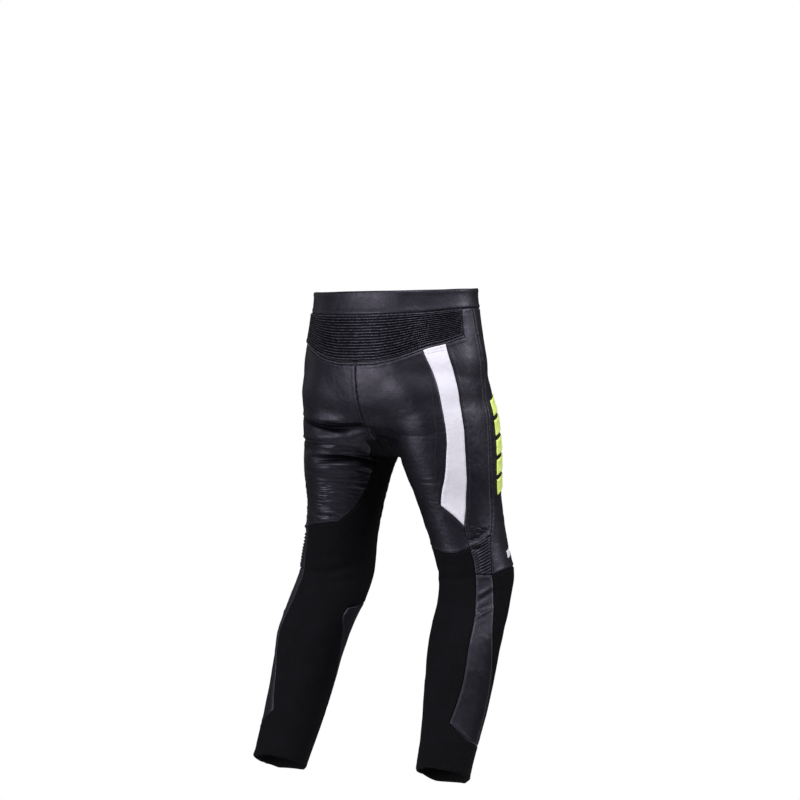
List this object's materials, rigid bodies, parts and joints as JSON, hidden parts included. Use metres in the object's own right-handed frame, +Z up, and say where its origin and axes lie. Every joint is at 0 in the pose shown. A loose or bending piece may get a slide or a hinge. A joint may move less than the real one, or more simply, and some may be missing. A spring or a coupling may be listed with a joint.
{
  "type": "motorcycle trousers",
  "caption": "Hollow leather motorcycle trousers in a worn pose, ribbed at the back yoke and knees, with stretch textile inner legs, a white stripe and neon bars on the right thigh.",
  "frame": {"origin": "middle of the waist opening, level with the top of the waistband at the back", "axes": "+Z up, the wearer faces -Y, the wearer's left is +X"},
  "size_m": [0.4804, 0.3058, 0.9181],
  "materials": {
    "black_leather": "semi-matt grained cowhide",
    "stretch_textile": "matt fine weave",
    "knee_loop_textile": "deep matt loop pile",
    "white_leather": "smooth satin",
    "neon_leather": "smooth satin",
    "snap_metal": "satin dark nickel"
  },
  "bodies": {
    "root": {"waistband": "black_leather", "back_yoke": "black_leather", "seat_left": "black_leather", "seat_right": "black_leather", "side_left": "black_leather", "side_right": "black_leather", "front_left": "black_leather", "front_right": "black_leather", "outer_calf_left": "black_leather", "outer_calf_right": "black_leather", "inner_patch_left": "black_leather", "inner_patch_right": "black_leather", "knee_accordion_left": "black_leather", "knee_accordion_right": "black_leather", "fly_placket": "black_leather", "waist_tab": "black_leather", "inner_textile_left": "stretch_textile", "inner_textile_right": "stretch_textile", "knee_panel_left": "knee_loop_textile", "knee_panel_right": "knee_loop_textile", "stripe_right": "white_leather", "knee_mark": "white_leather", "flash_bar_1": "neon_leather", "flash_bar_2": "neon_leather", "flash_bar_3": "neon_leather", "flash_bar_4": "neon_leather", "flash_bar_5": "neon_leather", "waist_snap": "snap_metal"}
  },
  "joints": []
}
